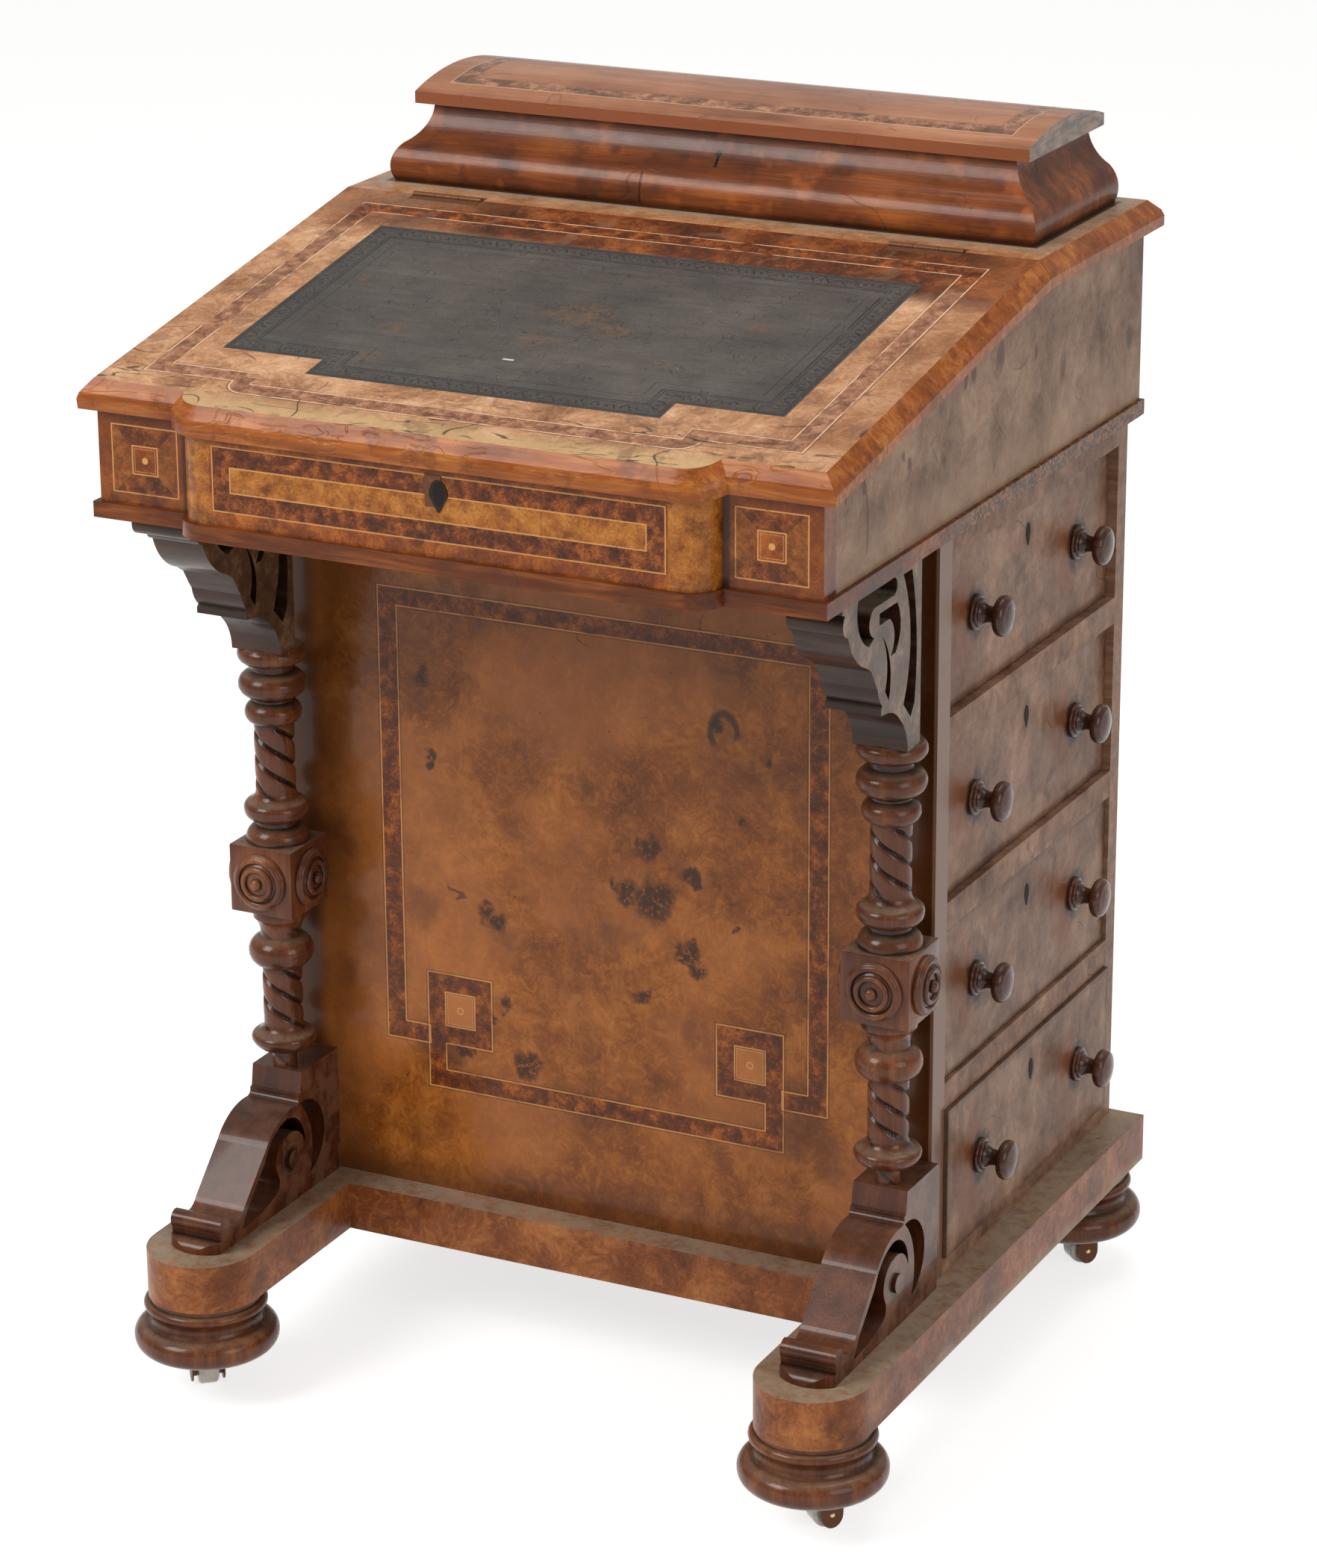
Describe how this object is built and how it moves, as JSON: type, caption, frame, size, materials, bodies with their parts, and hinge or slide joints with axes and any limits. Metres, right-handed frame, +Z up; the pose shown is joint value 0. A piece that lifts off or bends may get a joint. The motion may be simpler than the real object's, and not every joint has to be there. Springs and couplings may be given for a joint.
{
  "type": "davenport desk",
  "caption": "Davenport writing desk: sloped leather-topped lid over a case on a pedestal with four side drawers, spiral columns, scroll feet and casters",
  "frame": {"origin": "centre of the floor box under the desk", "axes": "+X to the writer's right, +Y from the writer to the back, +Z up"},
  "size_m": [0.5849, 0.5952, 0.8948],
  "materials": {
    "walnut_burr": "french polished burr walnut veneer",
    "walnut": "faded polished walnut",
    "walnut_turned": "polished turned and carved walnut",
    "knob_wood": "dark polished turned wood",
    "pine": "plain secondary timber",
    "leather": "worn tooled skiver leather",
    "brass": "aged brass",
    "ceramic": "glazed white ceramic"
  },
  "bodies": {
    "desk": {"box_back": "walnut", "box_front": "walnut_burr", "box_sides": "walnut_burr", "bracket_left": "walnut_turned", "bracket_right": "walnut_turned", "bun_feet": "walnut_turned", "case_back": "pine", "case_base_moulding": "walnut", "case_bottom": "pine", "case_locks": "brass", "case_side_left": "walnut", "case_side_right": "walnut", "column_left": "walnut_turned", "column_right": "walnut_turned", "drawer_rails": "walnut", "drawer_runners": "pine", "dummy_fronts": "walnut", "dummy_knobs": "knob_wood", "front_apron": "walnut_burr", "hinge_leaves_fixed": "brass", "pedestal_back_panel": "walnut", "pedestal_front_panel": "walnut_burr", "pedestal_left_panel": "walnut", "plinth_rails": "walnut", "rosettes": "walnut_turned", "scroll_foot_left": "walnut_turned", "scroll_foot_right": "walnut_turned", "sledge_left": "walnut", "sledge_right": "walnut", "top_board": "walnut_burr"},
    "slope_lid": {"slope_board": "walnut_burr", "leather_skiver": "leather", "slope_hinge_leaves": "brass"},
    "box_lid_body": {"box_lid": "walnut_burr", "box_hinge_leaves": "brass"},
    "drawer_1": {"drawer_1_front": "walnut", "drawer_1_carcase": "pine", "drawer_1_knobs": "knob_wood", "drawer_1_lock": "brass"},
    "drawer_2": {"drawer_2_front": "walnut", "drawer_2_carcase": "pine", "drawer_2_knobs": "knob_wood", "drawer_2_lock": "brass"},
    "drawer_3": {"drawer_3_front": "walnut", "drawer_3_carcase": "pine", "drawer_3_knobs": "knob_wood", "drawer_3_lock": "brass"},
    "drawer_4": {"drawer_4_front": "walnut", "drawer_4_carcase": "pine", "drawer_4_knobs": "knob_wood", "drawer_4_lock": "brass"},
    "caster_front_left": {"caster_horn_front_left": "brass"},
    "wheel_front_left": {"caster_wheel_front_left": "ceramic"},
    "caster_front_right": {"caster_horn_front_right": "brass"},
    "wheel_front_right": {"caster_wheel_front_right": "ceramic"},
    "caster_rear_left": {"caster_horn_rear_left": "brass"},
    "wheel_rear_left": {"caster_wheel_rear_left": "ceramic"},
    "caster_rear_right": {"caster_horn_rear_right": "brass"},
    "wheel_rear_right": {"caster_wheel_rear_right": "ceramic"}
  },
  "joints": [
    {"name": "slope_hinge", "type": "hinge", "parent": "desk", "child": "slope_lid", "pos_m": [0, 0.07055, 0.8216], "axis": [-1, 0, 0], "range_deg": [0, 95]},
    {"name": "box_hinge", "type": "hinge", "parent": "desk", "child": "box_lid_body", "pos_m": [0, 0.261, 0.8754], "axis": [-1, 0, 0], "range_deg": [0, 95]},
    {"name": "drawer_1_slide", "type": "slide", "parent": "desk", "child": "drawer_1", "axis": [1, 0, 0], "range_m": [0, 0.36]},
    {"name": "drawer_2_slide", "type": "slide", "parent": "desk", "child": "drawer_2", "axis": [1, 0, 0], "range_m": [0, 0.36]},
    {"name": "drawer_3_slide", "type": "slide", "parent": "desk", "child": "drawer_3", "axis": [1, 0, 0], "range_m": [0, 0.36]},
    {"name": "drawer_4_slide", "type": "slide", "parent": "desk", "child": "drawer_4", "axis": [1, 0, 0], "range_m": [0, 0.36]},
    {"name": "swivel_front_left", "type": "hinge", "parent": "desk", "child": "caster_front_left", "pos_m": [-0.24035, -0.2224, 0.034], "axis": [0, 0, 1], "continuous": true},
    {"name": "wheel_front_left_roll", "type": "hinge", "parent": "caster_front_left", "child": "wheel_front_left", "pos_m": [-0.24614, -0.21551, 0.012], "axis": [0.766, 0.6428, 0], "continuous": true},
    {"name": "swivel_front_right", "type": "hinge", "parent": "desk", "child": "caster_front_right", "pos_m": [0.24035, -0.2224, 0.034], "axis": [0, 0, 1], "continuous": true},
    {"name": "wheel_front_right_roll", "type": "hinge", "parent": "caster_front_right", "child": "wheel_front_right", "pos_m": [0.24614, -0.21551, 0.012], "axis": [0.766, -0.6428, 0], "continuous": true},
    {"name": "swivel_rear_left", "type": "hinge", "parent": "desk", "child": "caster_rear_left", "pos_m": [-0.24035, 0.2451, 0.034], "axis": [0, 0, 1], "continuous": true},
    {"name": "wheel_rear_left_roll", "type": "hinge", "parent": "caster_rear_left", "child": "wheel_rear_left", "pos_m": [-0.24614, 0.25199, 0.012], "axis": [0.766, 0.6428, 0], "continuous": true},
    {"name": "swivel_rear_right", "type": "hinge", "parent": "desk", "child": "caster_rear_right", "pos_m": [0.24035, 0.2451, 0.034], "axis": [0, 0, 1], "continuous": true},
    {"name": "wheel_rear_right_roll", "type": "hinge", "parent": "caster_rear_right", "child": "wheel_rear_right", "pos_m": [0.24614, 0.25199, 0.012], "axis": [0.766, -0.6428, 0], "continuous": true}
  ]
}
